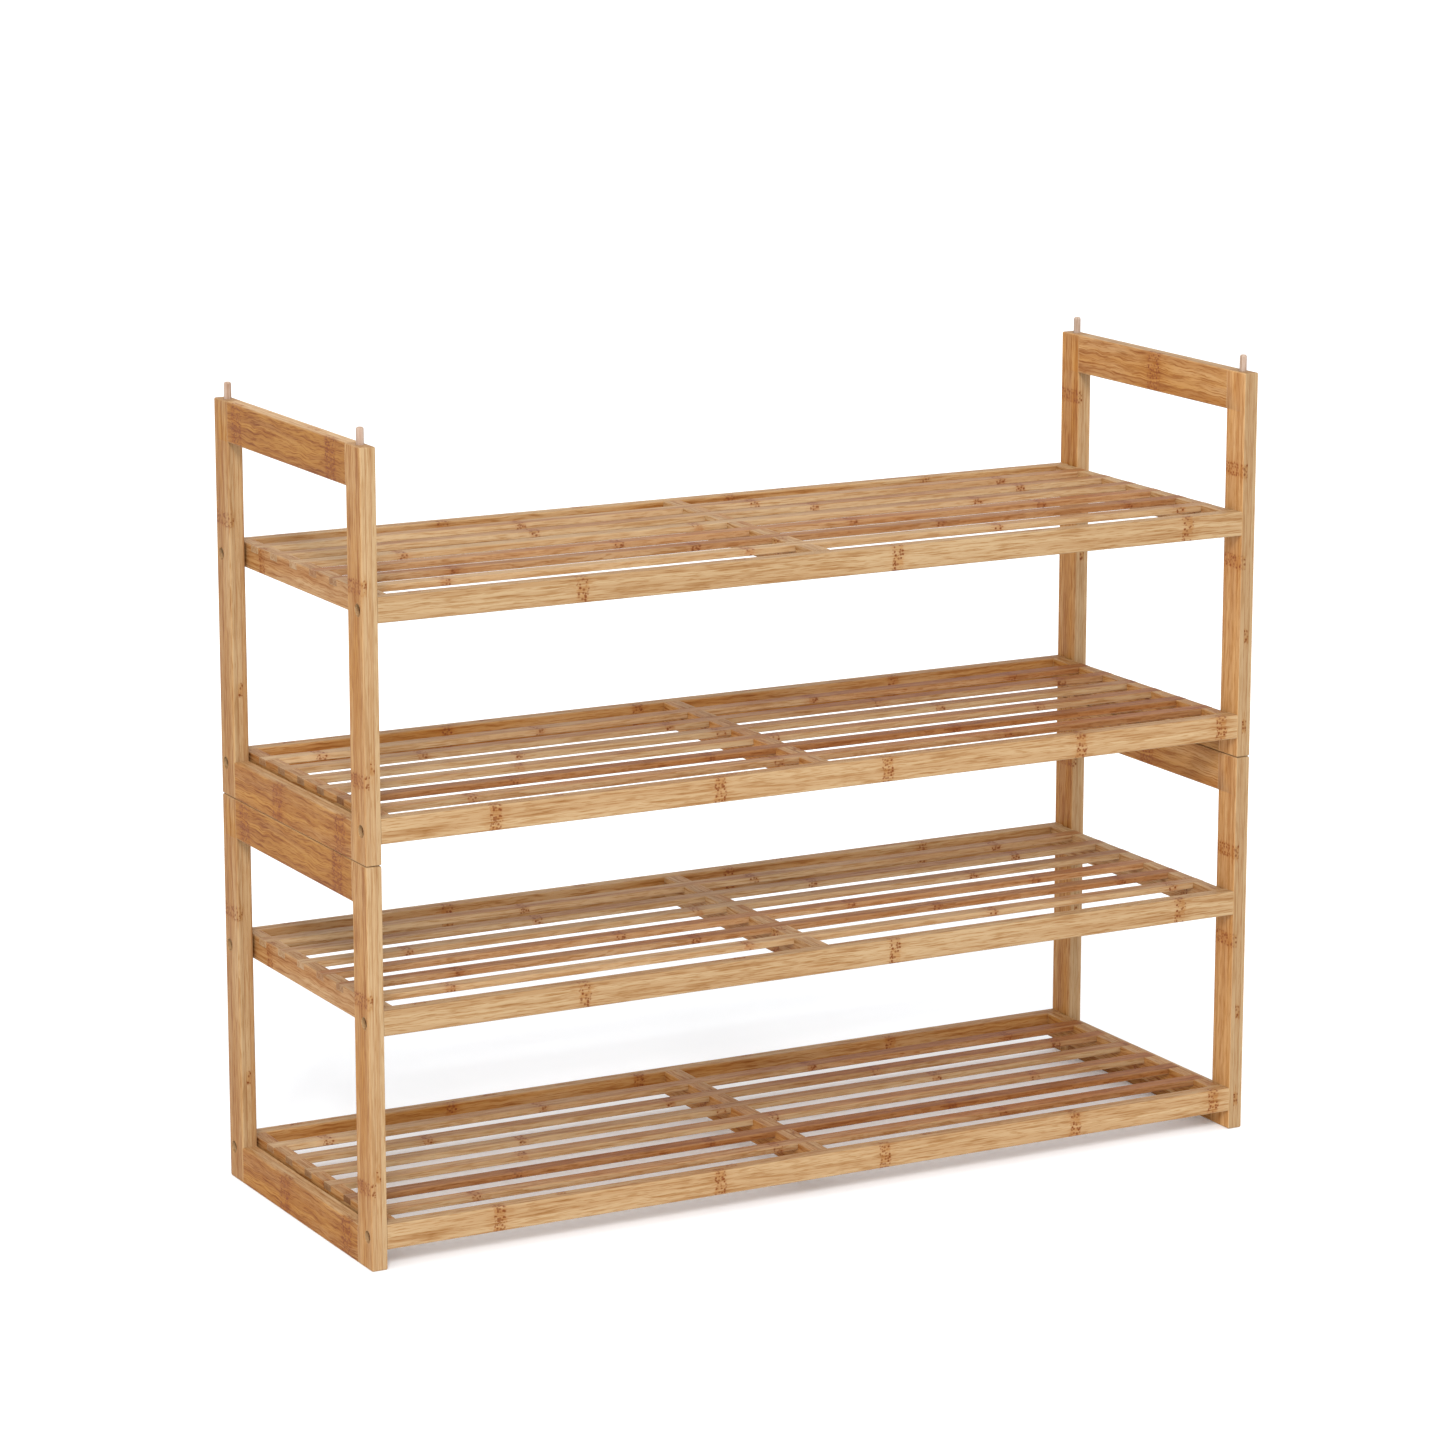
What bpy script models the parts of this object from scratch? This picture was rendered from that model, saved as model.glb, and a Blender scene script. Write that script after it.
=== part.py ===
"""Two stackable bamboo shoe racks, one standing on the other.

Each rack is two open side frames with two slatted shelves bolted between them. Dowel pegs on
the post tops of one rack enter sockets in the post bottoms of the next, which lifts off.

Frame: origin at the middle of the footprint, +X along the length, -Y to the front, +Z up.
Units are metres.
"""
import bpy
from mathutils import Vector

# Driving dimensions of one rack
LENGTH = 0.800
DEPTH = 0.280
HEIGHT = 0.320

# Side frames
BOARD_THICKNESS = 0.013
POST_WIDTH = 0.0265
TOP_RAIL_HEIGHT = 0.0325
BOTTOM_RAIL_HEIGHT = 0.030

# Shelves
SHELF_HEIGHT = 0.0200
SHELF_BOTTOMS = {"lower": 0.0160, "upper": 0.1860}
LONG_RAIL_THICKNESS = 0.013
END_CLEAT_WIDTH = 0.011
CENTER_CLEAT_WIDTH = 0.015
END_CLEAT_INSET = 0.0015
SLAT_COUNT = 6
SLAT_WIDTH = 0.0135
SLAT_THICKNESS = 0.0053
SLAT_PITCH = 0.038
SLAT_SHIFTS = {"lower": -0.0035, "upper": 0.0037}

# Dowel pegs and their sockets
PEG_DIAMETER = 0.006
PEG_STAND_OUT = 0.0135
PEG_TIP_BEVEL = 0.0016
PEG_ROOT_DEPTH = 0.004
SOCKET_DIAMETER = 0.0068
SOCKET_DEPTH = 0.0150

# Counterbores for the bolt heads, on the outer faces of the posts
BOLT_HOLE_DIAMETER = 0.0100
BOLT_HOLE_DEPTH = 0.0055
BOLT_SETBACK = 0.0085

# Gaps and edges
JOINT_GAP = 0.0003
EDGE_ROUNDING = 0.0010
ROUND_SEGMENTS = 20
CUT_OVERRUN = 0.002

COLLECTION_NAME = "stackable_shoe_rack"
CUTTER_COLLECTION_NAME = "cutters"

# Material name: colour, roughness, metallic
MATERIALS = {
    "bamboo_frame": ((0.60, 0.36, 0.17, 1.0), 0.45, 0.0),
    "bamboo_shelf": ((0.64, 0.41, 0.20, 1.0), 0.45, 0.0),
    "bamboo_slat": ((0.52, 0.29, 0.14, 1.0), 0.50, 0.0),
}

RACK_BASES = {"lower": 0.0, "upper": HEIGHT + JOINT_GAP}


def clear_scene():
    for item in list(bpy.data.objects):
        bpy.data.objects.remove(item, do_unlink=True)


def make_collection(name):
    collection = bpy.data.collections.new(name)
    bpy.context.scene.collection.children.link(collection)
    return collection


def make_material(name):
    colour, roughness, metallic = MATERIALS[name]
    material = bpy.data.materials.new(name)
    material.use_nodes = True
    shader = material.node_tree.nodes["Principled BSDF"]
    shader.inputs["Base Color"].default_value = colour
    shader.inputs["Roughness"].default_value = roughness
    shader.inputs["Metallic"].default_value = metallic
    material.diffuse_color = colour
    return material


def move_to(item, collection):
    for owner in list(item.users_collection):
        owner.objects.unlink(item)
    collection.objects.link(item)


def add_box(name, low, high, collection):
    """A box between two corners, with its scale applied to its mesh."""
    low = Vector(low)
    high = Vector(high)
    bpy.ops.mesh.primitive_cube_add(size=1.0, location=(low + high) / 2)
    box = bpy.context.active_object
    box.name = name
    box.scale = high - low
    bpy.ops.object.transform_apply(location=False, rotation=False, scale=True)
    move_to(box, collection)
    return box


def add_cylinder(name, diameter, low, high, collection):
    """A cylinder between the middles of its two ends."""
    low = Vector(low)
    high = Vector(high)
    axis = high - low
    bpy.ops.mesh.primitive_cylinder_add(
        vertices=ROUND_SEGMENTS,
        radius=diameter / 2,
        depth=axis.length,
        location=(low + high) / 2,
        rotation=axis.to_track_quat("Z", "Y").to_euler(),
    )
    cylinder = bpy.context.active_object
    cylinder.name = name
    move_to(cylinder, collection)
    return cylinder


def add_boolean(board, other, operation):
    modifier = board.modifiers.new(other.name, "BOOLEAN")
    modifier.operation = operation
    modifier.solver = "EXACT"
    modifier.object = other


def hide_cutter(cutter):
    cutter.hide_render = True
    cutter.display_type = "WIRE"


def round_edges(board, width=EDGE_ROUNDING):
    modifier = board.modifiers.new("rounded_edges", "BEVEL")
    modifier.width = width
    modifier.segments = 1
    modifier.limit_method = "ANGLE"


def add_board(name, low, high, material_name):
    board = add_box(name, low, high, PARTS)
    board.data.materials.append(SURFACES[material_name])
    round_edges(board)
    return board


def slat_centres(shelf):
    """Middles of a shelf's slats in Y, from the front slat to the back one."""
    first = SLAT_SHIFTS[shelf] - SLAT_PITCH * (SLAT_COUNT - 1) / 2
    return [first + index * SLAT_PITCH for index in range(SLAT_COUNT)]


def add_post(rack, side, end):
    """A post with the peg on its top, the socket in its foot and two counterbores."""
    base = RACK_BASES[rack]
    outward = {"left": -1, "right": 1}[side]
    frontward = {"front": -1, "back": 1}[end]
    name = f"{rack}_rack_{side}_{end}_post"
    outer_x = outward * LENGTH / 2
    inner_x = outer_x - outward * BOARD_THICKNESS
    outer_y = frontward * DEPTH / 2
    inner_y = outer_y - frontward * POST_WIDTH
    low = (min(outer_x, inner_x), min(outer_y, inner_y), base)
    high = (max(outer_x, inner_x), max(outer_y, inner_y), base + HEIGHT)
    post = add_board(name, low, high, "bamboo_frame")

    middle_x = (outer_x + inner_x) / 2
    middle_y = (outer_y + inner_y) / 2
    top = base + HEIGHT
    peg = add_cylinder(
        name + "_peg",
        PEG_DIAMETER,
        (middle_x, middle_y, top - PEG_ROOT_DEPTH),
        (middle_x, middle_y, top + PEG_STAND_OUT),
        CUTTERS,
    )
    round_edges(peg, PEG_TIP_BEVEL)
    hide_cutter(peg)
    add_boolean(post, peg, "UNION")

    socket = add_cylinder(
        name + "_socket",
        SOCKET_DIAMETER,
        (middle_x, middle_y, base - CUT_OVERRUN),
        (middle_x, middle_y, base + SOCKET_DEPTH),
        CUTTERS,
    )
    hide_cutter(socket)
    add_boolean(post, socket, "DIFFERENCE")

    bolt_y = outer_y - frontward * BOLT_SETBACK
    for shelf, bottom in SHELF_BOTTOMS.items():
        bolt_z = base + bottom + SHELF_HEIGHT / 2
        bore = add_cylinder(
            f"{name}_{shelf}_bore",
            BOLT_HOLE_DIAMETER,
            (outer_x + outward * CUT_OVERRUN, bolt_y, bolt_z),
            (outer_x - outward * BOLT_HOLE_DEPTH, bolt_y, bolt_z),
            CUTTERS,
        )
        hide_cutter(bore)
        add_boolean(post, bore, "DIFFERENCE")


def add_side_rails(rack, side):
    """The top rail, which is also the hand hold, and the bottom rail of a side frame."""
    base = RACK_BASES[rack]
    outward = {"left": -1, "right": 1}[side]
    xs = sorted((outward * LENGTH / 2, outward * (LENGTH / 2 - BOARD_THICKNESS)))
    reach = DEPTH / 2 - POST_WIDTH - JOINT_GAP
    heights = {
        "top": (base + HEIGHT - TOP_RAIL_HEIGHT, base + HEIGHT),
        "bottom": (base, base + BOTTOM_RAIL_HEIGHT),
    }
    for level, (bottom, top) in heights.items():
        name = f"{rack}_rack_{side}_{level}_rail"
        add_board(name, (xs[0], -reach, bottom), (xs[1], reach, top), "bamboo_frame")


def add_cleat(name, middle_x, width, top, slats):
    """A board across the shelf with a notch for each slat in its top edge."""
    reach = DEPTH / 2 - LONG_RAIL_THICKNESS - JOINT_GAP
    cleat = add_board(
        name,
        (middle_x - width / 2, -reach, top - SHELF_HEIGHT),
        (middle_x + width / 2, reach, top),
        "bamboo_shelf",
    )
    half_notch = SLAT_WIDTH / 2 + JOINT_GAP
    floor = top - SLAT_THICKNESS - JOINT_GAP
    for index, middle_y in enumerate(slats, start=1):
        notch = add_box(
            f"{name}_notch_{index}",
            (middle_x - width / 2 - CUT_OVERRUN, middle_y - half_notch, floor),
            (middle_x + width / 2 + CUT_OVERRUN, middle_y + half_notch, top + CUT_OVERRUN),
            CUTTERS,
        )
        hide_cutter(notch)
        add_boolean(cleat, notch, "DIFFERENCE")


def add_shelf(rack, shelf):
    """Front and back rails, three notched cleats and the slats let into them."""
    bottom = RACK_BASES[rack] + SHELF_BOTTOMS[shelf]
    top = bottom + SHELF_HEIGHT
    prefix = f"{rack}_rack_{shelf}_shelf"
    half_length = LENGTH / 2 - BOARD_THICKNESS - JOINT_GAP
    for end, frontward in (("front", -1), ("back", 1)):
        ys = sorted((frontward * DEPTH / 2, frontward * (DEPTH / 2 - LONG_RAIL_THICKNESS)))
        add_board(
            f"{prefix}_{end}_rail",
            (-half_length, ys[0], bottom),
            (half_length, ys[1], top),
            "bamboo_shelf",
        )

    cleat_x = half_length - END_CLEAT_INSET - END_CLEAT_WIDTH / 2
    slats = slat_centres(shelf)
    add_cleat(f"{prefix}_left_cleat", -cleat_x, END_CLEAT_WIDTH, top, slats)
    add_cleat(f"{prefix}_center_cleat", 0.0, CENTER_CLEAT_WIDTH, top, slats)
    add_cleat(f"{prefix}_right_cleat", cleat_x, END_CLEAT_WIDTH, top, slats)

    slat_reach = half_length - END_CLEAT_INSET
    for index, middle_y in enumerate(slats, start=1):
        add_board(
            f"{prefix}_slat_{index}",
            (-slat_reach, middle_y - SLAT_WIDTH / 2, top - SLAT_THICKNESS),
            (slat_reach, middle_y + SLAT_WIDTH / 2, top),
            "bamboo_slat",
        )


def add_rack(rack):
    for side in ("left", "right"):
        for end in ("front", "back"):
            add_post(rack, side, end)
        add_side_rails(rack, side)
    for shelf in SHELF_BOTTOMS:
        add_shelf(rack, shelf)


clear_scene()
PARTS = make_collection(COLLECTION_NAME)
CUTTERS = make_collection(CUTTER_COLLECTION_NAME)
SURFACES = {name: make_material(name) for name in MATERIALS}
for rack_name in RACK_BASES:
    add_rack(rack_name)
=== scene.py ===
"""Looks of two stackable bamboo shoe racks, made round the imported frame. Units are metres."""
import math
import random

import bmesh
import bpy
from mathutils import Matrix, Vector


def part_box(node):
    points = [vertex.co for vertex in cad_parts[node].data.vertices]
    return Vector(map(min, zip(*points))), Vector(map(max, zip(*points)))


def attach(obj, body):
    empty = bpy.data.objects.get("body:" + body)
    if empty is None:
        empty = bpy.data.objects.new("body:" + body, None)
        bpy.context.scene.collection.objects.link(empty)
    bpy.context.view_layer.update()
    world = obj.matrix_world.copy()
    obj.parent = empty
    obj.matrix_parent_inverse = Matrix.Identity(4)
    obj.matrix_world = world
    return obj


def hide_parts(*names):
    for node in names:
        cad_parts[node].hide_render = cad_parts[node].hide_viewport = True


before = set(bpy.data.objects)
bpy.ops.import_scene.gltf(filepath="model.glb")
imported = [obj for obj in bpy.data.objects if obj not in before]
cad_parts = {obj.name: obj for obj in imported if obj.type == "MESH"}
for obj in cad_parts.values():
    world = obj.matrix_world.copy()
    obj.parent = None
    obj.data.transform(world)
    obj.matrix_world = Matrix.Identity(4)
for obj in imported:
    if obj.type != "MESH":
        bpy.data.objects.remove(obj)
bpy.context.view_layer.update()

# Edges and joints of the boards. A corner is an edge that turns by more than SHARP_CORNER radians
FRAME_ROUNDING = 0.0014
RAIL_ROUNDING = 0.0012
CLEAT_ROUNDING = 0.0006
SLAT_ROUNDING = 0.0008
POST_INNER_ROUNDING = 0.0005
SHARP_CORNER = 1.2
ROUNDING_STEPS = 3
JOINT_CLOSING = 0.00025
TOUCH = 0.0005
NOTCH_GAP = 0.00015
SLAT_COUNT = 6
CUT_OVERRUN = 0.002

# Dowel pegs, their holes and their sockets. Shares are of the peg's radius
PEG_RADIUS = 0.0030
PEG_ROOT = 0.0120
PEG_ROOT_SHARE = 0.85
PEG_ROOT_TAPER = 0.0006
PEG_TIP_LENGTH = 0.0020
PEG_TIP_STEPS = 6
PEG_TIP_SHARE = 0.45
PEG_END_SHARE = 0.42
PEG_HOLE_RADIUS = 0.0031
SOCKET_RADIUS = 0.0034
SOCKET_DEPTH = 0.0150
PEG_LOOK = (0.0, 0.1, 0.0, 0.1)

# Bolts and their counterbores
BORE_RADIUS = 0.0050
BORE_DEPTH = 0.0055
BORE_SETBACK = 0.0085
BOLT_HEAD_RADIUS = 0.0045
BOLT_HEAD_HEIGHT = 0.0024
BOLT_KEY_RADIUS = 0.0021
BOLT_KEY_DEPTH = 0.0018
BOLT_EDGE = 0.0004
BOLT_SIDES = 24
BOLT_LOOK = (0.0, 0.0, 0.0, 0.0)
ROUND_SIDES = 32
HOLE_RIM = 0.0003

# Strips that a board is glued up from, and how far the brown joints of the stalk reach along it. A piece
# without joints has the reach NO_KNOT, because the material divides by it
FRAME_PLIES = 3
SHELF_PLIES = 2
SINGLE_PLY = 1
SIDE_RAIL_KNOT = 0.0095
POST_KNOT = 0.0055
SHELF_RAIL_KNOT = 0.0048
CLEAT_KNOT = 0.0050
SLAT_KNOT = 0.0042
NO_KNOT = 0.005

# Where the brown joints of the bamboo stalk cross a board, along its length from the origin. On posts they
# are counted up from the rack's foot. FAR stands for a joint that isn't there
FAR = 9.0
MOST_KNOTS = 6
KNOTS = {
    "upper_shelf_front_rail": (-0.216, 0.062, 0.334),
    "lower_shelf_front_rail": (-0.291, -0.097, 0.054, 0.235, 0.371),
    "left_top_rail": (0.095, -0.086),
    "left_bottom_rail": (0.028, -0.092),
    "right_top_rail": (-0.004,),
    "left_back_post": (0.232,),
    "left_front_post": (0.220, 0.071),
    "right_back_post": (0.273,),
    "right_front_post": (0.246, 0.170),
}
KNOT_SPACING = (0.17, 0.27)
FIRST_KNOT = 0.02

# Tone and redness of single boards, first on their narrow faces and then on their wide ones.
# 0 is the common colour. Some of these tones are painted light: the raised wide-face tones of the right
# posts, the right rails, the lower shelf cleats and the lower shelf back rail lighten faces that stand in
# shade
BOARD_LOOKS_AND_PAINTED_LIGHT = {
    "left_front_post": (0.03, -0.20, 0.17, 0.50),
    "left_back_post": (0.00, 0.12, 0.09, 0.60),
    # Painted light: the raised wide-face tones of the right posts and right rails lighten their inner faces,
    # which get less light
    "right_front_post": (-0.13, 0.00, 0.54, 0.38),
    "right_back_post": (-0.03, 0.00, 0.32, 0.60),
    "left_bottom_rail": (0.11, 0.35, 0.09, 0.82),
    "left_top_rail": (0.30, -0.10, 0.08, 0.95),
    "right_bottom_rail": (0.06, 0.30, 0.20, 0.80),
    "right_top_rail": (0.02, 0.30, 0.40, 0.68),
    "upper_shelf_front_rail": (0.00, 0.20, -0.04, 0.05),
    "upper_shelf_back_rail": (0.00, 0.20, -0.06, 0.40),
    "lower_shelf_front_rail": (0.00, 0.20, -0.02, -0.10),
    # Painted light: the raised wide-face tone lightens this rail where it stands in shade
    "lower_shelf_back_rail": (-0.03, 0.35, 0.10, 0.62),
    "upper_shelf_cleat": (0.02, 0.30, 0.12, 0.52),
    # Painted light: the raised wide-face tone lightens the lower cleats' faces in the shade of the bottom
    # rails
    "lower_shelf_cleat": (0.00, 0.50, 0.24, 0.70),
    "upper_shelf_slat_1": (0.16, -0.25, 0.04, 0.00),
    "upper_shelf_slat_2": (-0.04, 0.68, -0.04, 0.75),
    "upper_shelf_slat_3": (0.01, 0.50, 0.00, 0.60),
    "upper_shelf_slat_4": (0.07, -0.05, -0.02, 0.15),
    "upper_shelf_slat_5": (0.00, 0.18, -0.07, 0.55),
    "upper_shelf_slat_6": (0.03, 0.18, -0.07, 0.50),
    "lower_shelf_slat_1": (-0.08, 0.50, -0.06, 0.72),
    "lower_shelf_slat_2": (-0.15, 0.90, -0.14, 0.95),
    "lower_shelf_slat_3": (-0.02, -0.05, -0.04, 0.45),
    "lower_shelf_slat_4": (0.00, -0.10, -0.04, 0.42),
    "lower_shelf_slat_5": (0.01, 0.20, -0.05, 0.62),
    "lower_shelf_slat_6": (0.14, 0.38, -0.05, 0.66),
}
# How much redder a slat's right end is than its middle, and its left end less red. Redder is also darker
SLAT_DRIFTS = {
    "upper_shelf_slat_1": 0.35, "upper_shelf_slat_2": 0.10, "upper_shelf_slat_4": 0.40,
    "upper_shelf_slat_5": 0.10, "upper_shelf_slat_6": 0.15, "lower_shelf_slat_1": 0.25,
    "lower_shelf_slat_2": 0.20, "lower_shelf_slat_3": 0.25, "lower_shelf_slat_4": 0.25,
    "lower_shelf_slat_5": 0.35, "lower_shelf_slat_6": 0.45,
}
# How far a slat's cut ends take the end colour
SLAT_END_DARKNESS = {"upper": 0.35, "lower": 0.60}
DARKEST_SLAT_END = "lower_shelf_slat_1"

# Grain. A size is a streak's length and width, and a scale is cells per metre. A ramp is where a smooth
# change starts and ends, then its low and high value if they aren't 0 and 1. PLY_INSET keeps a board's outer
# face inside its last strip
DRIFT_DARKENING = -0.20
PLY_INSET = 0.4995
BOARD_SEED_STEP = 61.7
PLY_SEED_STEP = 7.31
STREAK_SEED_STEP = 3.7
GLUE_LINE_RAMP = (0.00025, 0.00008)
GLUE_LINE_STRENGTH = 0.45
WAVE_SCALES = (45.0, 70.0)
SWAY_OF_RED = 0.0060
SWAY_OF_PLAIN = 0.0008
CLOUD_SIZE = (0.110, 0.0140)
BAND_SIZE = (0.260, 0.0048)
LINE_SIZE = (0.042, 0.0019)
FIBRE_SIZE = (0.014, 0.00085)
BAND_RAMP = (0.30, 0.70)
LINE_RAMP = (0.48, 0.68)
LINE_STRENGTH = 0.75
FIBRE_RAMP = (0.50, 0.66)
FIBRE_STRENGTH = 0.70
PLY_RED_SPREAD = 0.30
CLOUD_RED_SPREAD = 0.9
PLY_TONE_SPREAD = 0.14
PLY_TONE_BASE = 0.93
PLY_FINE_SPREAD = 0.04

# Brown joints of the stalk. The core, border and zone ramps run over the distance from a joint, in reaches
WOBBLE_SCALE = 300.0
WOBBLE_REACH = 0.0060
PLY_KNOT_SHIFT = 0.137
CORE_RAMP = (1.25, 0.75)
BORDER_RAMP = (0.15, 0.75)
ZONE_RAMP = (3.2, 0.8)
ZONE_WARMTH = 0.10
PATCH_SCALES = (90.0, 170.0)
PATCH_RAMP = (0.42, 0.62)
STAIN_SPREAD = 0.30
STAIN_BASE = 0.18
SPECK_SCALES = (400.0, 460.0)
SPECK_RAMP = (0.58, 0.32)
SPECK_CHANCE_RAMP = (0.12, 0.38)
DOTS_SPREAD = 0.30
DOTS_BASE = 0.70
DASH_SIZE = (0.0070, 0.0010)
DASH_RAMP = (0.54, 0.68)
DASH_WARMTH = 0.35

# End grain, edges lightened by a painted highlight and by wear, and gloss of the wood
PORE_SCALE = 1150.0
PORE_RAMP = (0.42, 0.18)
PORE_STRENGTH = 0.7
END_GRAIN_STRENGTH = 0.90
EDGE_RAMP = (0.0016, 0.0004)
EDGE_HIGHLIGHT_AND_WEAR_RAMP = (0.30, 0.75, 0.15, 0.75)
EDGE_HIGHLIGHT_AND_WEAR_STRENGTH = 0.38
WOOD_ROUGHNESS = 0.42
FIBRE_ROUGHNESS = 0.16
CLOUD_ROUGHNESS = 0.10
END_ROUGHNESS = 0.15
FIBRE_HEIGHT = -0.5
LINE_HEIGHT = -0.4
CORE_HEIGHT = 0.35
GLUE_LINE_DEPTH = 0.5
PORE_DEPTH = 0.6
WOOD_SPECULAR = 0.08
WOOD_COAT_ROUGHNESS = 0.25
WOOD_BUMP = (0.45, 0.00018)

# Bolt metal
RING_SCALE = 9000.0
PATINA_SCALE = 700.0
PATINA_RAMP = (0.35, 0.70)
KEY_HOLE_RAMP = (0.0004, 0.0016)
METAL_ROUGHNESS = 0.22
METAL_ROUGHNESS_SPREAD = 0.30
METAL_BUMP = (0.35, 0.00005)

# Shading. Edges sharper than SHARP_ANGLE degrees stay crisp. A face is a cut end where its normal runs along
# the board by more than END_FACE_LIMIT
SHARP_ANGLE = 40.0
END_FACE_LIMIT = 0.8

# Studio. KEY_SIZE is the key light's width in degrees
FLOOR_REACH = 60.0
FLOOR_COLOUR = (0.880, 0.897, 0.918, 1.0)
FLOOR_ROUGHNESS = 0.9
FLOOR_GLOW = 0.13
SKY_COLOUR = (1.0, 1.0, 1.0, 1.0)
SKY_STRENGTH = 1.02
KEY_STRENGTH = 2.2
KEY_SIZE = 18.0
KEY_TOWARD = (0.36, 0.72, -0.62)

# Camera. Yaw and pitch are in degrees, and the lens and sensor in millimetres
CAMERA_PLACE = (-1.8866, -3.4802, 1.2388)
CAMERA_YAW = 28.206
CAMERA_PITCH = -12.473
CAMERA_LENS = 124.28
CAMERA_CLIP = (0.1, 200.0)
SENSOR_WIDTH = 36.0


def linear(red, green, blue):
    """A colour given as 0 to 255 screen values, in the linear values that shaders take."""
    def channel(value):
        value = value / 255.0
        return value / 12.92 if value <= 0.04045 else ((value + 0.055) / 1.055) ** 2.4
    return (channel(red), channel(green), channel(blue), 1.0)


class Graph:
    """Short calls for wiring one material's nodes."""

    def __init__(self, name):
        self.material = bpy.data.materials.new(name)
        self.material.use_nodes = True
        self.tree = self.material.node_tree
        self.tree.nodes.clear()

    def feed(self, socket, value):
        if isinstance(value, bpy.types.NodeSocket):
            self.tree.links.new(value, socket)
        else:
            socket.default_value = value

    def add(self, kind, values=None, **settings):
        node = self.tree.nodes.new(kind)
        for key, value in settings.items():
            setattr(node, key, value)
        for key, value in (values or {}).items():
            self.feed(node.inputs[key], value)
        return node

    def attribute(self, name, output="Vector"):
        return self.add("ShaderNodeAttribute", attribute_name=name).outputs[output]

    def split(self, vector):
        return self.add("ShaderNodeSeparateXYZ", {0: vector}).outputs

    def join(self, x, y, z):
        return self.add("ShaderNodeCombineXYZ", {0: x, 1: y, 2: z}).outputs[0]

    def math(self, operation, first, second=0.0, third=0.0):
        values = {0: first, 1: second, 2: third}
        return self.add("ShaderNodeMath", values, operation=operation).outputs[0]

    def plus(self, first, second):
        return self.math("ADD", first, second)

    def minus(self, first, second):
        return self.math("SUBTRACT", first, second)

    def times(self, first, second):
        return self.math("MULTIPLY", first, second)

    def times_plus(self, value, factor, base):
        return self.math("MULTIPLY_ADD", value, factor, base)

    def spread(self, value, factor):
        """Factor times the distance of value above or below 0.5."""
        return self.times(self.minus(value, 0.5), factor)

    def ramp(self, value, start, end, low=0.0, high=1.0):
        """Smooth change from low to high while value goes from start to end."""
        values = {"Value": value, "From Min": start, "From Max": end, "To Min": low, "To Max": high}
        return self.add("ShaderNodeMapRange", values, interpolation_type="SMOOTHSTEP").outputs[0]

    def noise(self, vector, detail=2.0):
        values = {"Vector": vector, "Scale": 1.0, "Detail": detail, "Roughness": 0.5}
        return self.add("ShaderNodeTexNoise", values).outputs[0]

    def mix(self, factor, first, second, mode="MIX"):
        node = self.add("ShaderNodeMix", data_type="RGBA", blend_type=mode)
        self.feed(node.inputs[0], factor)
        self.feed(node.inputs[6], first)
        self.feed(node.inputs[7], second)
        return node.outputs[2]

    def tinted(self, colour, tint):
        return self.mix(1.0, colour, tint, "MULTIPLY")

    def scale(self, colour, factor):
        node = self.add("ShaderNodeVectorMath", operation="SCALE")
        self.feed(node.inputs[0], colour)
        self.feed(node.inputs["Scale"], factor)
        return node.outputs[0]

    def finish(self, values, height, bump_strength, bump_distance):
        bump = self.add("ShaderNodeBump", {"Height": height})
        bump.inputs["Strength"].default_value = bump_strength
        bump.inputs["Distance"].default_value = bump_distance
        shader = self.add("ShaderNodeBsdfPrincipled", values)
        self.tree.links.new(bump.outputs[0], shader.inputs["Normal"])
        output = self.add("ShaderNodeOutputMaterial")
        self.tree.links.new(shader.outputs[0], output.inputs[0])
        return self.material


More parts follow.
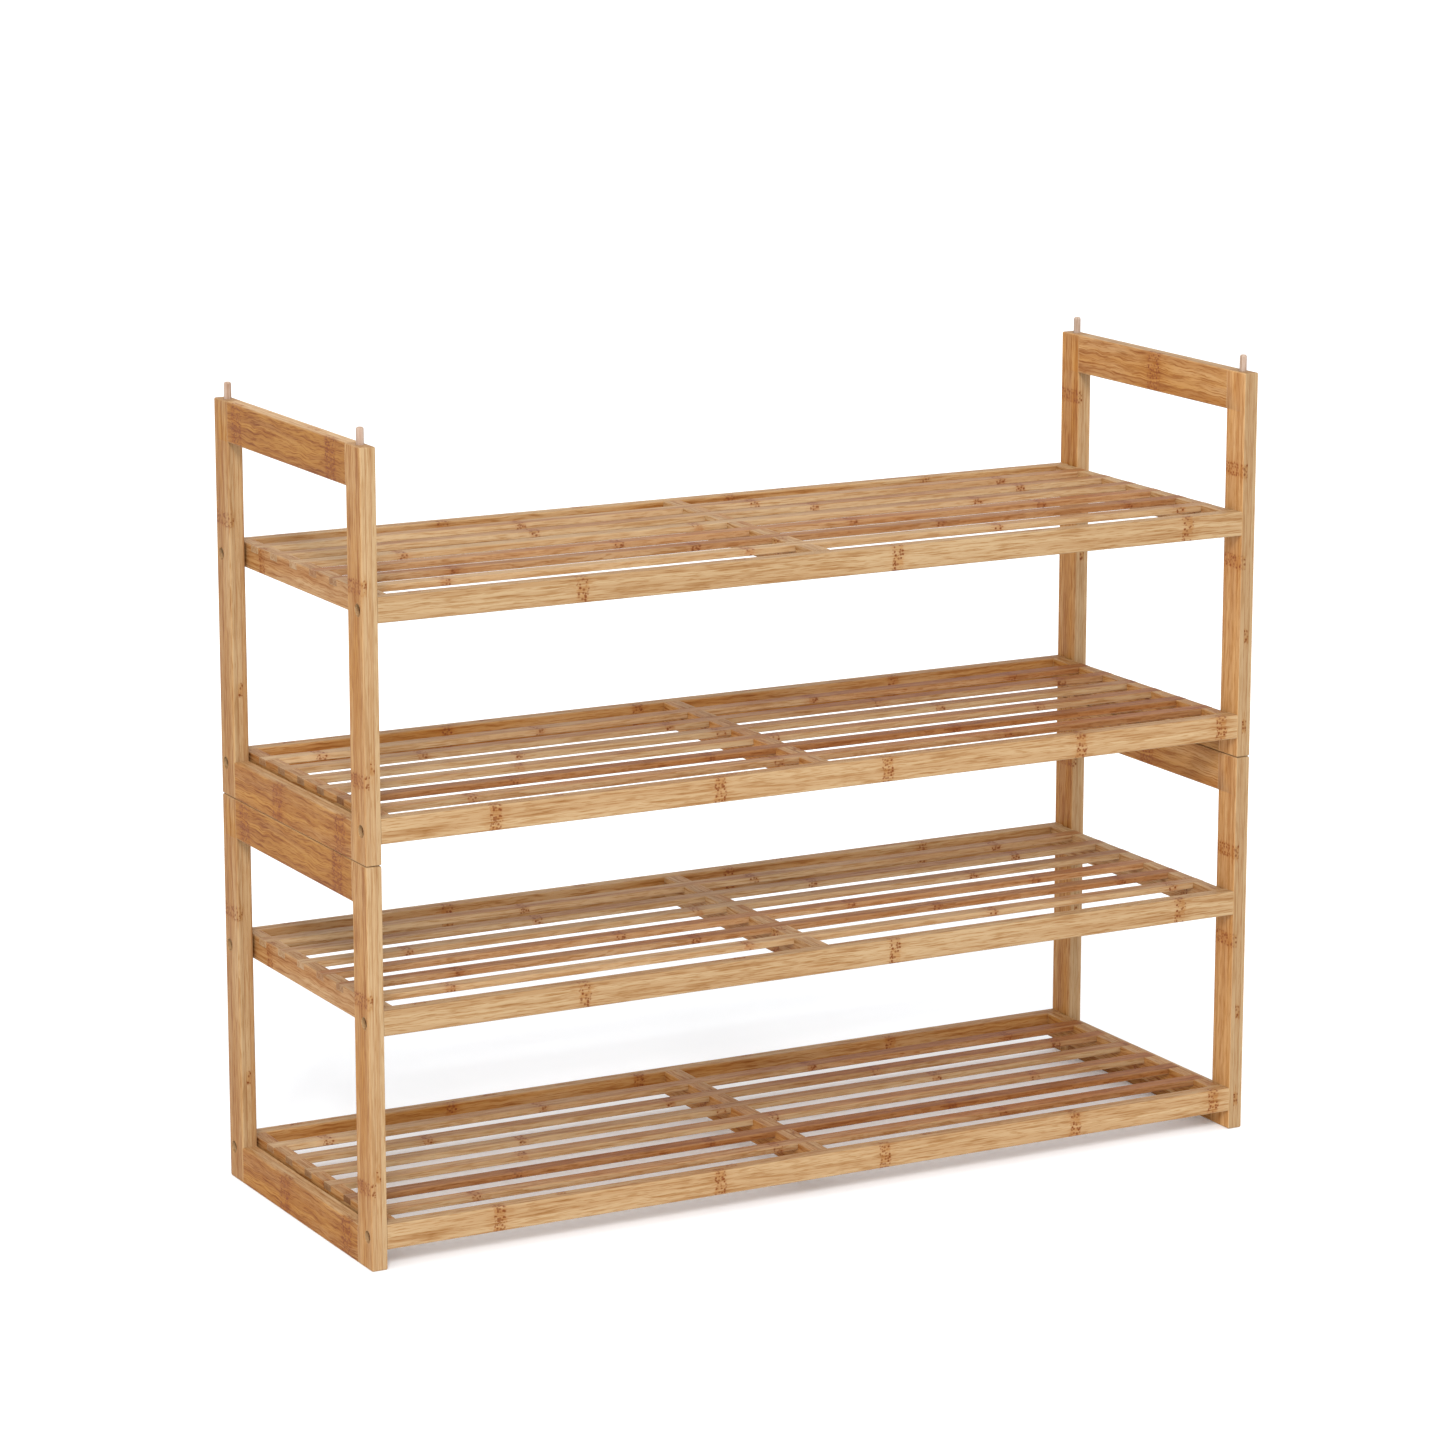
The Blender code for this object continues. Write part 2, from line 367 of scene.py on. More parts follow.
class Grain:
    """A board's stored grain coordinates, the strips it is glued up from, and its streaks at four sizes."""

    def __init__(self, g):
        self.g = g
        self.along, self.across, self.through = g.split(g.attribute("grain"))
        self.half_along, self.half_across, self.half_through = g.split(g.attribute("half"))
        seed, self.plies, drift = g.split(g.attribute("look"))
        drift = g.times(drift, g.math("DIVIDE", self.along, self.half_along))
        self.tone = g.times_plus(drift, DRIFT_DARKENING, g.attribute("tone", "Fac"))
        self.redness = g.plus(g.attribute("redness", "Fac"), drift)
        self.is_end = g.attribute("end_grain", "Fac")

        place = g.times_plus(g.math("DIVIDE", self.through, self.half_through), PLY_INSET, 0.5)
        self.place = g.times(place, self.plies)
        self.ply = g.math("FLOOR", self.place)
        self.ply_seed = g.times_plus(seed, BOARD_SEED_STEP, g.times(self.ply, PLY_SEED_STEP))
        chance = g.add("ShaderNodeTexWhiteNoise", {"W": self.ply_seed}, noise_dimensions="1D")
        self.ply_tone, self.ply_red, self.ply_other = g.split(chance.outputs["Color"])

        wave_along = g.times(self.along, WAVE_SCALES[0])
        wave = g.noise(g.join(wave_along, g.times(self.across, WAVE_SCALES[1]), self.ply_seed))
        sway = g.spread(wave, g.times_plus(self.redness, SWAY_OF_RED, SWAY_OF_PLAIN))
        self.wavy_across = g.plus(self.across, sway)
        self.cloud = self.streaks(CLOUD_SIZE)
        self.band = self.streaks(BAND_SIZE)
        self.line = self.streaks(LINE_SIZE)
        self.fibre = self.streaks(FIBRE_SIZE)

    def streaks(self, size, detail=2.0):
        g = self.g
        length, width = size
        offset = g.times(self.ply_seed, STREAK_SEED_STEP)
        x = g.times_plus(self.along, 1.0 / length, offset)
        y = g.times_plus(self.wavy_across, 1.0 / width, offset)
        z = g.times(self.through, 1.0 / width)
        return g.noise(g.join(x, y, z), detail)

    def cells(self, scales):
        """Coordinates for spots that have one scale along the board and another across it."""
        g = self.g
        x = g.times(self.along, scales[0])
        y = g.times(self.across, scales[1])
        return g.join(x, y, g.times_plus(self.through, scales[1], self.ply_seed))

    def glue_line(self):
        """1 on the thin lines between strips, and 0 elsewhere."""
        g = self.g
        near_glue = g.math("ABSOLUTE", g.minus(self.place, g.math("ROUND", self.place)))
        distance = g.math("DIVIDE", g.times(near_glue, self.half_through), g.times(self.plies, 0.5))
        after_first = g.math("GREATER_THAN", self.place, 0.5)
        before_last = g.math("LESS_THAN", self.place, g.minus(self.plies, 0.5))
        return g.times(g.ramp(distance, *GLUE_LINE_RAMP), g.times(after_first, before_last))

    def edge_distance(self):
        """How far a point on a face lies from the nearest edge of the board."""
        g = self.g
        gap_u = g.minus(self.half_along, g.math("ABSOLUTE", self.along))
        gap_v = g.minus(self.half_across, g.math("ABSOLUTE", self.across))
        gap_w = g.minus(self.half_through, g.math("ABSOLUTE", self.through))
        nearer = g.math("MINIMUM", g.math("MAXIMUM", gap_u, gap_v), gap_w)
        return g.math("MAXIMUM", g.math("MINIMUM", gap_u, gap_v), nearer)


def grain_colour(g, grain, light, dark, red, line_tint, plain_contrast, red_contrast):
    """Bands, lines and fibres, with more contrast and a warmer colour on the redder faces."""
    contrast = g.times_plus(g.math("MAXIMUM", grain.redness, 0.0), red_contrast, plain_contrast)
    band_dark = g.times_plus(g.minus(g.ramp(grain.band, *BAND_RAMP), 0.5), contrast, 0.5)
    colour = g.mix(band_dark, light, dark)
    line_dark = g.times(g.times(g.ramp(grain.line, *LINE_RAMP), LINE_STRENGTH), contrast)
    colour = g.mix(line_dark, colour, g.tinted(colour, line_tint))
    fibre_dark = g.times(g.times(g.ramp(grain.fibre, *FIBRE_RAMP), FIBRE_STRENGTH), contrast)
    colour = g.mix(fibre_dark, colour, g.tinted(colour, line_tint))
    red_amount = g.plus(grain.redness, g.spread(grain.ply_red, PLY_RED_SPREAD))
    red_amount = g.plus(red_amount, g.spread(grain.cloud, CLOUD_RED_SPREAD))
    return g.mix(g.ramp(red_amount, 0.0, 1.0), colour, g.tinted(colour, red))


def knot_distance(g, grain):
    """Distance to the nearest joint of the stalk, in reaches, with a ragged outline that differs by strip."""
    wobble_across = g.times(grain.across, WOBBLE_SCALE)
    wobble_through = g.times(grain.through, WOBBLE_SCALE)
    wobble = g.noise(g.join(wobble_across, wobble_through, grain.ply_seed))
    shifted = g.times_plus(grain.ply, PLY_KNOT_SHIFT, grain.along)
    shifted = g.plus(shifted, g.spread(wobble, WOBBLE_REACH))
    distance = FAR
    for name_of_three in ("knots_a", "knots_b"):
        for position in g.split(g.attribute(name_of_three)):
            away = g.math("ABSOLUTE", g.minus(shifted, position))
            distance = g.math("MINIMUM", distance, away)
    return g.math("DIVIDE", distance, g.attribute("knot_reach", "Fac"))


def add_knots(g, grain, colour, red, knot):
    """A warmer zone with brown specks, denser at its borders. Gives the colour and the zone's core."""
    near = knot_distance(g, grain)
    core = g.ramp(near, *CORE_RAMP)
    border = g.ramp(near, *BORDER_RAMP)
    zone = g.ramp(near, *ZONE_RAMP)
    patch = g.ramp(g.noise(grain.cells(PATCH_SCALES), 1.0), *PATCH_RAMP)
    speck_values = {"Vector": grain.cells(SPECK_SCALES), "Scale": 1.0, "Randomness": 1.0}
    specks = g.add("ShaderNodeTexVoronoi", speck_values).outputs
    chance = g.split(specks["Color"])[0]
    speck = g.times(g.ramp(specks["Distance"], *SPECK_RAMP), g.ramp(chance, *SPECK_CHANCE_RAMP))
    dashes = g.ramp(grain.streaks(DASH_SIZE, 1.0), *DASH_RAMP)
    warm = g.tinted(colour, red)
    colour = g.mix(g.times(zone, ZONE_WARMTH), colour, warm)
    colour = g.mix(g.times(g.times(zone, dashes), DASH_WARMTH), colour, warm)
    stain = g.times(core, g.times_plus(patch, STAIN_SPREAD, STAIN_BASE))
    colour = g.mix(stain, colour, warm)
    dots = g.times(g.times(core, speck), g.times_plus(border, DOTS_SPREAD, DOTS_BASE))
    return g.mix(dots, colour, knot), core


def end_pores(g, grain):
    """Cut ends of the fibre bundles, as dots on the end grain."""
    place = g.join(0.0, g.times(grain.across, PORE_SCALE), g.times(grain.through, PORE_SCALE))
    bundles = g.add("ShaderNodeTexVoronoi", {"Vector": place, "Scale": 1.0})
    return g.ramp(bundles.outputs["Distance"], *PORE_RAMP)


def wood(name, light, dark, red, line_tint, knot, end, coat, plain_contrast, red_contrast):
    """Lacquered strips of bamboo or a turned rod, from the grain coordinates stored on each board."""
    g = Graph(name)
    grain = Grain(g)
    colour = grain_colour(g, grain, light, dark, red, line_tint, plain_contrast, red_contrast)
    colour, core = add_knots(g, grain, colour, red, knot)
    glue_line = grain.glue_line()
    colour = g.mix(g.times(glue_line, GLUE_LINE_STRENGTH), colour, knot)
    pores = end_pores(g, grain)
    end_colour = g.mix(g.times(pores, PORE_STRENGTH), end, knot)
    colour = g.mix(g.times(grain.is_end, END_GRAIN_STRENGTH), colour, end_colour)
    # Painted highlight and wear: the colour is lightened in patches near every edge, whichever way the light
    # falls
    edge_highlight_and_wear = g.times(g.ramp(grain.edge_distance(), *EDGE_RAMP), g.ramp(grain.cloud, *EDGE_HIGHLIGHT_AND_WEAR_RAMP))
    colour = g.mix(g.times(edge_highlight_and_wear, EDGE_HIGHLIGHT_AND_WEAR_STRENGTH), colour, light)
    tone = g.plus(g.times_plus(grain.ply_tone, PLY_TONE_SPREAD, PLY_TONE_BASE), grain.tone)
    colour = g.scale(colour, g.plus(tone, g.spread(grain.ply_other, PLY_FINE_SPREAD)))

    roughness = g.times_plus(grain.fibre, FIBRE_ROUGHNESS, WOOD_ROUGHNESS)
    roughness = g.plus(roughness, g.spread(grain.cloud, CLOUD_ROUGHNESS))
    roughness = g.plus(roughness, g.times(grain.is_end, END_ROUGHNESS))
    height = g.plus(g.times(grain.fibre, FIBRE_HEIGHT), g.times(grain.line, LINE_HEIGHT))
    height = g.plus(height, g.times(core, CORE_HEIGHT))
    height = g.minus(height, g.times(glue_line, GLUE_LINE_DEPTH))
    height = g.minus(height, g.times(g.times(pores, grain.is_end), PORE_DEPTH))
    values = {"Base Color": colour, "Roughness": roughness, "Specular IOR Level": WOOD_SPECULAR,
              "Coat Weight": coat, "Coat Roughness": WOOD_COAT_ROUGHNESS}
    return g.finish(values, height, *WOOD_BUMP)


def metal(name, base, dark):
    """Dull plated metal with turning marks round the bolt's own axis, its colour darker deeper in the key
    hole.
    """
    g = Graph(name)
    deep, across, up = g.split(g.attribute("grain"))
    radius = g.math("SQRT", g.plus(g.times(across, across), g.times(up, up)))
    rings = g.noise(g.join(g.times(radius, RING_SCALE), 0.0, 0.0))
    patches = g.noise(g.scale(g.attribute("grain"), PATINA_SCALE), 3.0)
    colour = g.mix(g.ramp(patches, *PATINA_RAMP), base, dark)
    colour = g.mix(g.ramp(deep, *KEY_HOLE_RAMP), colour, dark)
    roughness = g.times_plus(patches, METAL_ROUGHNESS_SPREAD, METAL_ROUGHNESS)
    height = g.times_plus(rings, 0.5, g.times(patches, 0.5))
    values = {"Base Color": colour, "Roughness": roughness, "Metallic": 1.0}
    return g.finish(values, height, *METAL_BUMP)


KNOT_BROWN = linear(112, 58, 26)
BOARD_END = linear(164, 128, 90)
LINE_TINT = linear(219, 195, 162)
MATERIALS = {
    "frame_bamboo": wood(
        "frame_bamboo_wood", light=linear(179, 151, 114), dark=linear(161, 127, 89),
        red=linear(226, 187, 112), line_tint=LINE_TINT, knot=KNOT_BROWN, end=BOARD_END,
        coat=0.03, plain_contrast=0.65, red_contrast=0.85),
    "shelf_bamboo": wood(
        "shelf_bamboo_wood", light=linear(178, 150, 113), dark=linear(163, 129, 90),
        red=linear(227, 184, 114), line_tint=LINE_TINT, knot=KNOT_BROWN, end=BOARD_END,
        coat=0.03, plain_contrast=1.00, red_contrast=0.30),
    "slat_bamboo": wood(
        "slat_bamboo_wood", light=linear(181, 153, 117), dark=linear(164, 130, 92),
        red=linear(225, 179, 138), line_tint=LINE_TINT, knot=KNOT_BROWN, end=linear(104, 62, 32),
        coat=0.03, plain_contrast=0.90, red_contrast=0.30),
    "birch_dowel": wood(
        "birch_dowel_wood", light=linear(184, 164, 148), dark=linear(168, 144, 127),
        red=linear(240, 214, 198), line_tint=linear(222, 208, 194), knot=linear(150, 112, 88),
        end=linear(180, 156, 136), coat=0.02, plain_contrast=1.00, red_contrast=0.00),
    "bolt_metal": metal("bolt_metal_brass", linear(146, 102, 60), linear(50, 33, 20)),
}


def box_mesh(low, high, cuts, roundings):
    """A box with extra edge rings at the cuts, rounded where a test of an edge's middle and axis says so."""
    shape = bmesh.new()
    bmesh.ops.create_cube(shape, size=1.0)
    size = high - low
    middle = (low + high) / 2
    for vertex in shape.verts:
        vertex.co = Vector(middle[i] + vertex.co[i] * size[i] for i in range(3))
    for axis, place in cuts:
        normal = Vector(1.0 if i == axis else 0.0 for i in range(3))
        geometry = shape.verts[:] + shape.edges[:] + shape.faces[:]
        bmesh.ops.bisect_plane(shape, geom=geometry, plane_co=normal * place, plane_no=normal)
    for radius, rounds in roundings:
        chosen = []
        for edge in shape.edges:
            span = edge.verts[1].co - edge.verts[0].co
            direction = max(range(3), key=lambda i: abs(span[i]))
            edge_middle = (edge.verts[0].co + edge.verts[1].co) / 2
            if edge.calc_face_angle() > SHARP_CORNER and rounds(edge_middle, direction):
                chosen.append(edge)
        bmesh.ops.bevel(shape, geom=chosen, offset=radius, offset_type="OFFSET", segments=ROUNDING_STEPS,
                        profile=0.5, affect="EDGES", clamp_overlap=True)
    return shape


def along(axis):
    """A test that chooses the edges in one direction."""
    return lambda middle, direction: direction == axis


def make_object(name, shape):
    mesh = bpy.data.meshes.new(name)
    bmesh.ops.recalc_face_normals(shape, faces=shape.faces)
    shape.to_mesh(mesh)
    shape.free()
    item = bpy.data.objects.new(name, mesh)
    bpy.context.scene.collection.objects.link(item)
    return item


def turned(rings, sides, axis, place):
    """A closed solid skinned over rings of (radius, distance along the axis, is a hexagon)."""
    shape = bmesh.new()
    loops = []
    for radius, distance, hexagon in rings:
        loop = []
        for i in range(sides):
            angle = 2 * math.pi * i / sides
            reach = radius
            if hexagon:
                reach = radius * math.cos(math.pi / 6) / math.cos(angle % (math.pi / 3) - math.pi / 6)
            local = [0.0, 0.0, 0.0]
            local[axis] = distance
            local[(axis + 1) % 3] = reach * math.cos(angle)
            local[(axis + 2) % 3] = reach * math.sin(angle)
            loop.append(shape.verts.new(Vector(local) + place))
        loops.append(loop)
    for lower, upper in zip(loops, loops[1:]):
        for i in range(sides):
            j = (i + 1) % sides
            shape.faces.new((lower[i], lower[j], upper[j], upper[i]))
    shape.faces.new(loops[0][::-1])
    shape.faces.new(loops[-1])
    return shape


def cut(item, cutters):
    """Takes the cutters out of item's mesh and removes them."""
    for cutter in cutters:
        modifier = item.modifiers.new("cut", "BOOLEAN")
        modifier.operation = "DIFFERENCE"
        modifier.solver = "EXACT"
        modifier.object = cutter
    bpy.context.view_layer.update()
    made = bpy.data.meshes.new_from_object(item.evaluated_get(bpy.context.evaluated_depsgraph_get()))
    item.modifiers.clear()
    item.data = made
    made.name = item.name
    for cutter in cutters:
        bpy.data.objects.remove(cutter)


def hole(place, axis, radius, start, end, rim_at):
    """A cylinder along an axis through place, with a small countersink at the mouth rim_at."""
    inward = 1.0 if (start + end) / 2 > rim_at else -1.0
    mouth = (start, end) if abs(start - rim_at) < abs(end - rim_at) else (end, start)
    rings = [(radius + HOLE_RIM, mouth[0], False), (radius + HOLE_RIM, rim_at, False),
             (radius, rim_at + inward * HOLE_RIM, False), (radius, mouth[1], False)]
    centre = Vector(place)
    centre[axis] = 0.0
    return make_object("cutter", turned(rings, ROUND_SIDES, axis, centre))


def paint(item, slot_name, axes, plies, look, knots=(), knot_reach=NO_KNOT, origin=None, seed_name=None,
          end=1.0, drift=0.0):
    """Stores the grain coordinates and the board's colour, with any painted light that its look carries, on
    its mesh, and gives it the material.
    """
    tone, redness, wide_tone, wide_redness = look
    mesh = item.data
    points = [vertex.co.copy() for vertex in mesh.vertices]
    low = [min(p[i] for p in points) for i in range(3)]
    high = [max(p[i] for p in points) for i in range(3)]
    origin = origin or [(low[i] + high[i]) / 2 for i in range(3)]
    half = [(high[axis] - low[axis]) / 2 for axis in axes]
    seed = random.Random(seed_name or item.name).random()
    marks = list(knots)[:MOST_KNOTS] + [FAR] * (MOST_KNOTS - len(knots))

    def store(name, kind, domain, values, field):
        attribute = mesh.attributes.new(name, kind, domain)
        attribute.data.foreach_set(field, values)

    grain = [p[axis] - origin[axis] for p in points for axis in axes]
    count = len(points)
    store("grain", "FLOAT_VECTOR", "POINT", grain, "vector")
    store("half", "FLOAT_VECTOR", "POINT", half * count, "vector")
    store("look", "FLOAT_VECTOR", "POINT", [seed, float(plies), drift] * count, "vector")
    store("knot_reach", "FLOAT", "POINT", [knot_reach] * count, "value")
    store("knots_a", "FLOAT_VECTOR", "POINT", marks[:3] * count, "vector")
    store("knots_b", "FLOAT_VECTOR", "POINT", marks[3:] * count, "vector")
    ends = [end if abs(face.normal[axes[0]]) > END_FACE_LIMIT else 0.0 for face in mesh.polygons]
    widths = [abs(face.normal[axes[2]]) for face in mesh.polygons]
    tones = [tone + (wide_tone - tone) * width for width in widths]
    reds = [redness + (wide_redness - redness) * width for width in widths]
    store("end_grain", "FLOAT", "FACE", ends, "value")
    store("tone", "FLOAT", "FACE", tones, "value")
    store("redness", "FLOAT", "FACE", reds, "value")
    mesh.materials.clear()
    mesh.materials.append(MATERIALS[slot_name])
    mesh.shade_smooth()
    mesh.set_sharp_from_angle(angle=math.radians(SHARP_ANGLE))
    weighted = item.modifiers.new("even_flats", "WEIGHTED_NORMAL")
    weighted.keep_sharp = True


def chance_knots(role, reach):
    """Positions of the stalk's joints along a board that has none of its own in KNOTS."""
    luck = random.Random("knots of " + role)
    places = []
    place = -reach + luck.uniform(FIRST_KNOT, KNOT_SPACING[1])
    while place < reach and len(places) < MOST_KNOTS:
        places.append(place)
        place += luck.uniform(*KNOT_SPACING)
    return places


def knots_of(role, centre, reach):
    if role in KNOTS:
        return [place - centre for place in KNOTS[role]]
    return chance_knots(role, reach)


def split_name(node):
    rack, role = node.split("_rack_")
    return rack, role


def body_name(rack):
    return rack + "_rack"


def board_box(node, axis, closing):
    """The CAD board's corners, grown at both ends of one axis to close the joint gap."""
    low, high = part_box(node)
    low[axis] -= closing
    high[axis] += closing
    return low, high


def finish_board(item, node, slot_name, axes, plies, knot_reach, end=1.0):
    """Paints a board, puts it on its rack and has it replace its CAD node."""
    rack, role = split_name(node)
    shelf = role.split("_")[0]
    look = BOARD_LOOKS_AND_PAINTED_LIGHT[role if role in BOARD_LOOKS_AND_PAINTED_LIGHT else shelf + "_shelf_cleat"]
    low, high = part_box(node)
    axis = axes[0]
    centre = (low[axis] + high[axis]) / 2
    if axis == 2:
        centre -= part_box(rack + "_rack_left_bottom_rail")[0].z
    knots = knots_of(role, centre, (high[axis] - low[axis]) / 2)
    paint(item, slot_name, axes, plies, look, knots, knot_reach, seed_name=role, end=end,
          drift=SLAT_DRIFTS.get(role, 0.0))
    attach(item, body_name(rack))
    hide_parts(node)


def make_side_rail(node):
    low, high = board_box(node, 1, JOINT_CLOSING)
    shape = box_mesh(low, high, (), [(FRAME_ROUNDING, along(1))])
    item = make_object(node + "_board", shape)
    finish_board(item, node, "frame_bamboo", (1, 2, 0), FRAME_PLIES, SIDE_RAIL_KNOT)


def make_post(node):
    """A post with its peg hole on top, its socket below and two counterbores, plus the peg and both bolts."""
    rack, role = split_name(node)
    side, end = role.split("_")[:2]
    low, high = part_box(node)
    rails = {level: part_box(f"{rack}_rack_{side}_{level}_rail") for level in ("top", "bottom")}
    top = rails["top"][1].z
    high.z = top
    window = (rails["bottom"][1].z, rails["top"][0].z)
    front = end == "front"
    left = side == "left"
    outer_y, inner_y = (low.y, high.y) if front else (high.y, low.y)
    outer_x, inner_x = (low.x, high.x) if left else (high.x, low.x)
    outward = -1.0 if left else 1.0

    def is_inner_corner(middle):
        """The upright edge that the shelf rails butt against, kept crisp so that the joint stays closed."""
        return abs(middle.x - inner_x) < TOUCH and abs(middle.y - outer_y) < TOUCH

    def rounds(middle, direction):
        at_joint = abs(middle.y - inner_y) < TOUCH
        if direction == 2 and at_joint:
            return window[0] < middle.z < window[1]
        return not at_joint and not (direction == 2 and is_inner_corner(middle))

    def rounds_inner(middle, direction):
        return direction == 2 and is_inner_corner(middle)

    cuts = ((2, window[0]), (2, window[1]))
    shape = box_mesh(low, high, cuts, [(FRAME_ROUNDING, rounds), (POST_INNER_ROUNDING, rounds_inner)])
    item = make_object(node + "_board", shape)
    peg_at = Vector(((low.x + high.x) / 2, (low.y + high.y) / 2, 0.0))
    cutters = [
        hole(peg_at, 2, PEG_HOLE_RADIUS, top - PEG_ROOT, top + CUT_OVERRUN, top),
        hole(peg_at, 2, SOCKET_RADIUS, low.z - CUT_OVERRUN, low.z + SOCKET_DEPTH, low.z),
    ]
    bolt_y = outer_y + (BORE_SETBACK if front else -BORE_SETBACK)
    mouth = outer_x + outward * CUT_OVERRUN
    floor = outer_x - outward * BORE_DEPTH
    for shelf in ("lower", "upper"):
        shelf_low, shelf_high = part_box(f"{rack}_rack_{shelf}_shelf_front_rail")
        centre = Vector((0.0, bolt_y, (shelf_low.z + shelf_high.z) / 2))
        cutters.append(hole(centre, 0, BORE_RADIUS, mouth, floor, outer_x))
        make_bolt(f"{node}_{shelf}_bolt", rack, Vector((floor, centre.y, centre.z)), outward)
    cut(item, cutters)
    finish_board(item, node, "frame_bamboo", (2, 1, 0), FRAME_PLIES, POST_KNOT)
    make_peg(node, rack, peg_at, top)


def make_peg(node, rack, place, top):
    """A turned birch dowel with a rounded tip, glued into the hole in the post's top."""
    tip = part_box(node)[1].z
    root = top - PEG_ROOT + TOUCH
    shoulder = tip - PEG_TIP_LENGTH
    rings = [(PEG_RADIUS * PEG_ROOT_SHARE, root, False), (PEG_RADIUS, root + PEG_ROOT_TAPER, False),
             (PEG_RADIUS, shoulder, False)]
    for step in range(1, PEG_TIP_STEPS):
        angle = math.pi / 2 * step / PEG_TIP_STEPS
        radius = PEG_RADIUS * (PEG_TIP_SHARE + (1 - PEG_TIP_SHARE) * math.cos(angle))
        rings.append((radius, shoulder + PEG_TIP_LENGTH * math.sin(angle), False))
    rings.append((PEG_RADIUS * PEG_END_SHARE, tip, False))
    item = make_object(node + "_peg", turned(rings, ROUND_SIDES, 2, place))
    paint(item, "birch_dowel", (2, 0, 1), SINGLE_PLY, PEG_LOOK, seed_name=node)
    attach(item, body_name(rack))
    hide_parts(node)


def make_bolt(name, rack, floor, outward):
    """A bolt head with a hexagon key hole, at the floor of a counterbore."""
    def ring(radius, height, hexagon=False):
        return (radius, outward * height, hexagon)
    top = BOLT_HEAD_HEIGHT
    rings = [
        ring(BOLT_HEAD_RADIUS, 0.0),
        ring(BOLT_HEAD_RADIUS, top - BOLT_EDGE),
        ring(BOLT_HEAD_RADIUS - BOLT_EDGE, top),
        ring(BOLT_KEY_RADIUS + BOLT_EDGE, top),
        ring(BOLT_KEY_RADIUS, top - BOLT_EDGE / 2, True),
        ring(BOLT_KEY_RADIUS, top - BOLT_KEY_DEPTH, True),
    ]
    item = make_object(name, turned(rings, BOLT_SIDES, 0, floor))
    origin = [floor.x + outward * top, floor.y, floor.z]
    paint(item, "bolt_metal", (0, 1, 2), SINGLE_PLY, BOLT_LOOK, origin=origin, seed_name=name)
    if outward > 0:
        flip_depth(item)
    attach(item, body_name(rack))


def flip_depth(item):
    """Makes the first grain coordinate grow into the wood on the right-hand bolts too."""
    for entry in item.data.attributes["grain"].data:
        entry.vector = (-entry.vector[0], entry.vector[1], entry.vector[2])


def make_shelf_rail(node):
    low, high = board_box(node, 0, JOINT_CLOSING)
    shape = box_mesh(low, high, (), [(RAIL_ROUNDING, along(0))])
    item = make_object(node + "_board", shape)
    finish_board(item, node, "shelf_bamboo", (0, 2, 1), SHELF_PLIES, SHELF_RAIL_KNOT)


def make_cleat(node):
    """A cleat with a notch for each slat in its top edge."""
    rack, role = split_name(node)
    shelf = role.split("_")[0]
    low, high = board_box(node, 1, JOINT_CLOSING / 2)
    shape = box_mesh(low, high, (), [(CLEAT_ROUNDING, along(1))])
    item = make_object(node + "_board", shape)
    cutters = []
    for number in range(1, SLAT_COUNT + 1):
        slat_low, slat_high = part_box(f"{rack}_rack_{shelf}_shelf_slat_{number}")
        notch_low = Vector((low.x - CUT_OVERRUN, slat_low.y - NOTCH_GAP, slat_low.z - NOTCH_GAP))
        notch_high = Vector((high.x + CUT_OVERRUN, slat_high.y + NOTCH_GAP, high.z + CUT_OVERRUN))
        cutters.append(make_object("cutter", box_mesh(notch_low, notch_high, (), [])))
    cut(item, cutters)
    finish_board(item, node, "shelf_bamboo", (1, 2, 0), SHELF_PLIES, CLEAT_KNOT)


def make_slat(node):
    role = split_name(node)[1]
    low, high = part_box(node)
    shape = box_mesh(low, high, (), [(SLAT_ROUNDING, along(0))])
    item = make_object(node + "_board", shape)
    end = 1.0 if role == DARKEST_SLAT_END else SLAT_END_DARKNESS[role.split("_")[0]]
    finish_board(item, node, "slat_bamboo", (0, 1, 2), SINGLE_PLY, SLAT_KNOT, end)


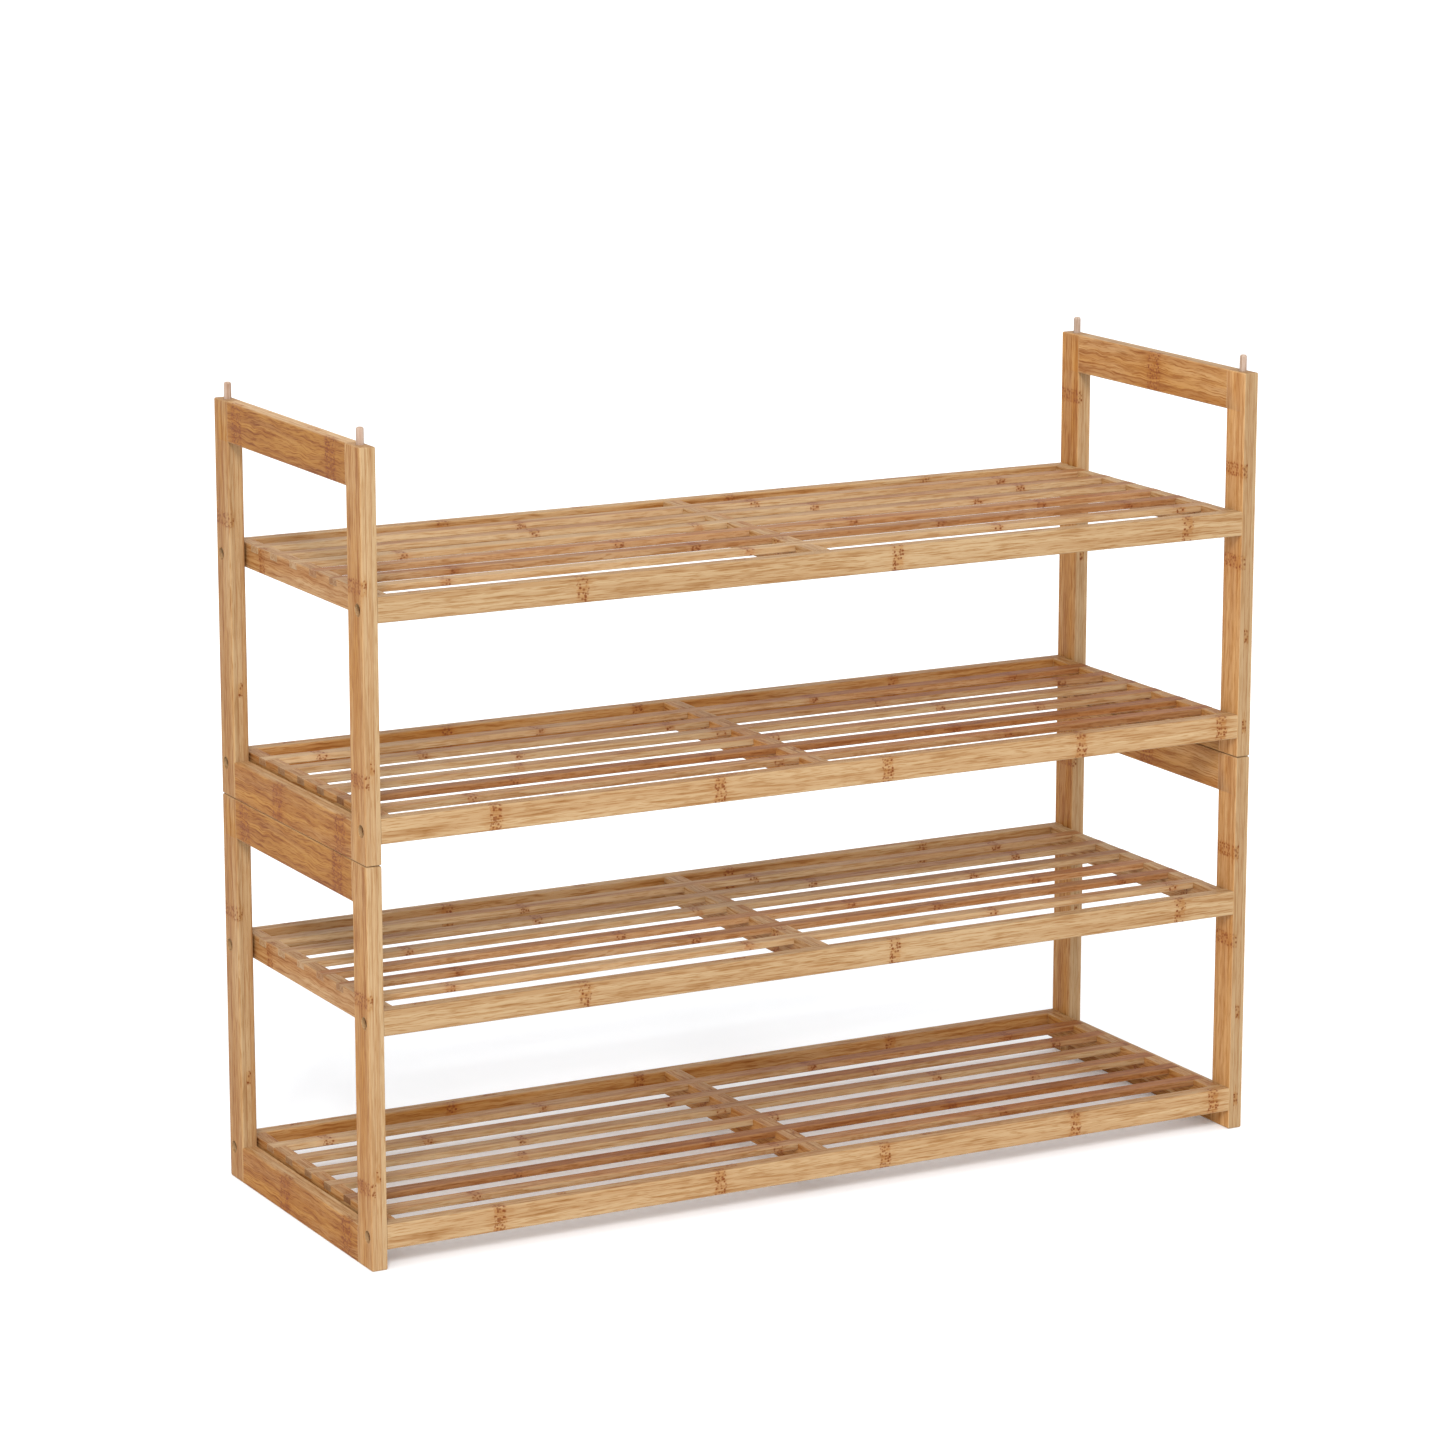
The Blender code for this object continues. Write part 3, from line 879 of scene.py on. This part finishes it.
def make_racks():
    for node in sorted(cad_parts):
        role = split_name(node)[1]
        if role.endswith("post"):
            make_post(node)
        elif role.endswith("cleat"):
            make_cleat(node)
        elif "_slat_" in role:
            make_slat(node)
        elif "_shelf_" in role:
            make_shelf_rail(node)
        else:
            make_side_rail(node)


def make_floor():
    """A large pale floor, wide enough to fill every view, that glows faintly: painted light that pales the
    shadows on it.
    """
    shape = bmesh.new()
    bmesh.ops.create_grid(shape, x_segments=1, y_segments=1, size=FLOOR_REACH)
    floor = make_object("studio_floor", shape)
    paper = Graph("studio_floor_paper")
    values = {"Base Color": FLOOR_COLOUR, "Roughness": FLOOR_ROUGHNESS,
              # The floor's glow is painted light: it pales the shadows that fall on the floor
              "Emission Color": FLOOR_COLOUR, "Emission Strength": FLOOR_GLOW}
    shader = paper.add("ShaderNodeBsdfPrincipled", values)
    paper.add("ShaderNodeOutputMaterial", {0: shader.outputs[0]})
    floor.data.materials.append(paper.material)


def make_light():
    """An even white sky and one large, soft key light."""
    world = bpy.data.worlds.new("studio")
    world.use_nodes = True
    background = world.node_tree.nodes["Background"]
    background.inputs["Color"].default_value = SKY_COLOUR
    background.inputs["Strength"].default_value = SKY_STRENGTH
    bpy.context.scene.world = world
    key = bpy.data.lights.new("key", "SUN")
    key.energy = KEY_STRENGTH
    key.angle = math.radians(KEY_SIZE)
    lamp = bpy.data.objects.new("key", key)
    lamp.rotation_euler = Vector(KEY_TOWARD).to_track_quat("-Z", "Y").to_euler()
    bpy.context.scene.collection.objects.link(lamp)


def make_camera():
    data = bpy.data.cameras.new("camera")
    data.lens = CAMERA_LENS
    data.sensor_width = SENSOR_WIDTH
    data.clip_start, data.clip_end = CAMERA_CLIP
    camera = bpy.data.objects.new("camera", data)
    camera.location = CAMERA_PLACE
    camera.rotation_euler = (math.radians(90.0 + CAMERA_PITCH), 0.0, math.radians(-CAMERA_YAW))
    bpy.context.scene.collection.objects.link(camera)
    bpy.context.scene.camera = camera


make_racks()
make_floor()
make_light()
make_camera()
bpy.context.scene.view_settings.view_transform = "Standard"
